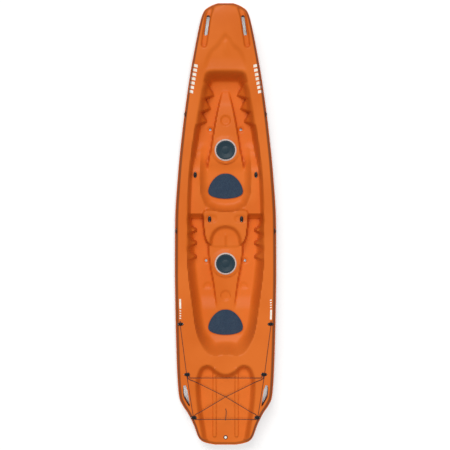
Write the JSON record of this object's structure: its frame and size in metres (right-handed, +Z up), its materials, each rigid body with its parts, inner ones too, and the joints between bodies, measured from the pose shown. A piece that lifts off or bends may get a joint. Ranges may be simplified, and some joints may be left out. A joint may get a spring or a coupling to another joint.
{
  "type": "tandem sit-on-top kayak",
  "caption": "Tandem sit-on-top kayak in moulded orange polyethylene, with open cockpits, round hatches, seat pads, carrying slots and a corded tank well.",
  "frame": {"origin": "on the ground under the middle of the boat's bounding box, at the keel's rest plane", "axes": "+Y towards the bow, +X to the starboard side, +Z up"},
  "size_m": [0.876, 3.8, 0.3613],
  "materials": {
    "orange_polyethylene": "satin",
    "dark_lid": "satin",
    "pale_rim": "satin",
    "black_nylon": "satin",
    "seal_rubber": "matte",
    "seat_foam": "matte",
    "cord_braid": "matte"
  },
  "bodies": {
    "boat": {"bow_side_eye_left": "black_nylon", "bow_side_eye_right": "black_nylon", "centre_block_eye_left": "black_nylon", "centre_block_eye_right": "black_nylon", "deck_shell": "orange_polyethylene", "drain_fitting": "black_nylon", "front_hatch_rim": "pale_rim", "front_seat_eye_left": "black_nylon", "front_seat_eye_right": "black_nylon", "front_seat_pad": "seat_foam", "hull_shell": "orange_polyethylene", "mid_side_eye_left": "black_nylon", "mid_side_eye_right": "black_nylon", "rear_hatch_rim": "pale_rim", "rear_seat_pad": "seat_foam", "rear_side_eye_left": "black_nylon", "rear_side_eye_right": "black_nylon", "shock_cord_knot": "cord_braid", "shock_cord_tail": "cord_braid", "side_line_left": "cord_braid", "side_line_right": "cord_braid", "tank_well_shock_cord": "cord_braid", "well_front_eye_left": "black_nylon", "well_front_eye_right": "black_nylon", "well_rear_eye_left": "black_nylon", "well_rear_eye_right": "black_nylon"},
    "drain_plug": {"drain_plug": "black_nylon"},
    "drain_plug_seal": {"drain_plug_seal": "seal_rubber"},
    "front_hatch_lid": {"front_hatch_lid": "dark_lid"},
    "front_hatch_seal": {"front_hatch_seal": "seal_rubber"},
    "rear_hatch_lid": {"rear_hatch_lid": "dark_lid"},
    "rear_hatch_seal": {"rear_hatch_seal": "seal_rubber"}
  },
  "joints": [
    {"name": "front_hatch_lift", "type": "slide", "parent": "boat", "child": "front_hatch_seal", "axis": [0, 0, 1], "range_m": [0, 0.12]},
    {"name": "front_hatch_turn", "type": "hinge", "parent": "front_hatch_seal", "child": "front_hatch_lid", "pos_m": [0, 0.647, 0.1783], "axis": [0, 0, 1], "range_deg": [0, 90]},
    {"name": "rear_hatch_lift", "type": "slide", "parent": "boat", "child": "rear_hatch_seal", "axis": [0, 0, 1], "range_m": [0, 0.12]},
    {"name": "rear_hatch_turn", "type": "hinge", "parent": "rear_hatch_seal", "child": "rear_hatch_lid", "pos_m": [0, -0.3335, 0.1783], "axis": [0, 0, 1], "range_deg": [0, 90]},
    {"name": "drain_plug_rise", "type": "slide", "parent": "boat", "child": "drain_plug_seal", "axis": [0, 0, 1], "range_m": [0, 0.0091]},
    {"name": "drain_plug_turn", "type": "hinge", "parent": "drain_plug_seal", "child": "drain_plug", "pos_m": [0, -1.832, 0.1803], "axis": [0, 0, 1], "range_deg": [0, 1080]}
  ],
  "couplings": [
    {"joint": "drain_plug_rise", "follows": "drain_plug_turn", "m_per_rad": 0.00047746}
  ]
}
